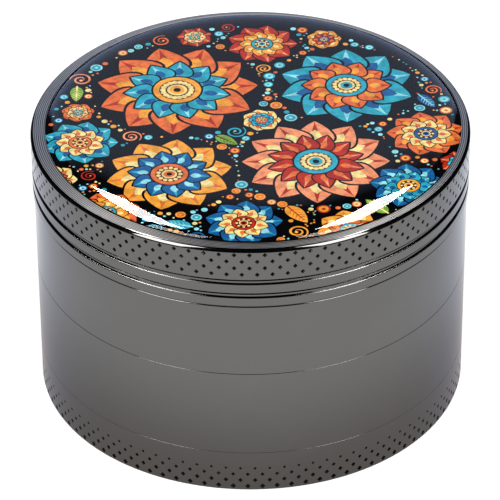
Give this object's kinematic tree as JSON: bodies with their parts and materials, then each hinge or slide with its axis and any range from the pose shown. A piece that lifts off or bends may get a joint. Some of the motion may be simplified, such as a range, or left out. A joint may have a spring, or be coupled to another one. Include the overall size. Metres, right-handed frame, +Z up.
{
  "type": "herb grinder",
  "caption": "Round gunmetal herb grinder in sections that screw together, with diamond teeth, a drop-hole floor, a sieve, a kief tray and a magnetic lid with a domed badge.",
  "frame": {"origin": "centre of the underside, on the surface that the grinder stands on", "axes": "+Z up along the axis that every section turns on"},
  "size_m": [0.063, 0.063, 0.044],
  "materials": {
    "gunmetal_plating": "polished",
    "stainless_mesh": "satin",
    "nickel_magnet": "polished",
    "nylon": "satin",
    "printed_film": "satin",
    "clear_resin": "gloss"
  },
  "bodies": {
    "tray": {"kief_tray": "gunmetal_plating"},
    "screen_clamp": {"screen_ring": "gunmetal_plating"},
    "sieve": {"sieve_section": "gunmetal_plating", "sieve_screen": "stainless_mesh"},
    "hub_magnet": {"chamber_magnet": "nickel_magnet"},
    "chamber": {"grinding_chamber": "gunmetal_plating", "chamber_teeth_inner": "gunmetal_plating", "chamber_teeth_outer": "gunmetal_plating"},
    "glide_ring": {"friction_ring": "nylon"},
    "lid": {"lid_shell": "gunmetal_plating", "lid_teeth_inner": "gunmetal_plating", "lid_teeth_outer": "gunmetal_plating", "lid_magnet": "nickel_magnet", "badge_print": "printed_film", "badge_dome": "clear_resin"}
  },
  "joints": [
    {"name": "sieve_rise", "type": "slide", "parent": "tray", "child": "screen_clamp", "axis": [0, 0, 1], "range_m": [0, 0.00405]},
    {"name": "sieve_unscrew", "type": "hinge", "parent": "screen_clamp", "child": "sieve", "pos_m": [0, 0, 0.0067], "axis": [0, 0, 1], "range_deg": [0, 972]},
    {"name": "chamber_rise", "type": "slide", "parent": "sieve", "child": "hub_magnet", "axis": [0, 0, 1], "range_m": [0, 0.00405]},
    {"name": "chamber_unscrew", "type": "hinge", "parent": "hub_magnet", "child": "chamber", "pos_m": [0, 0, 0.0206], "axis": [0, 0, 1], "range_deg": [0, 972]},
    {"name": "lid_turn", "type": "hinge", "parent": "chamber", "child": "glide_ring", "pos_m": [0, 0, 0.039], "axis": [0, 0, 1], "continuous": true},
    {"name": "lid_lift", "type": "slide", "parent": "glide_ring", "child": "lid", "axis": [0, 0, 1], "range_m": [0, 0.04]}
  ],
  "couplings": [
    {"joint": "sieve_rise", "follows": "sieve_unscrew", "m_per_rad": 0.00023873},
    {"joint": "chamber_rise", "follows": "chamber_unscrew", "m_per_rad": 0.00023873}
  ]
}
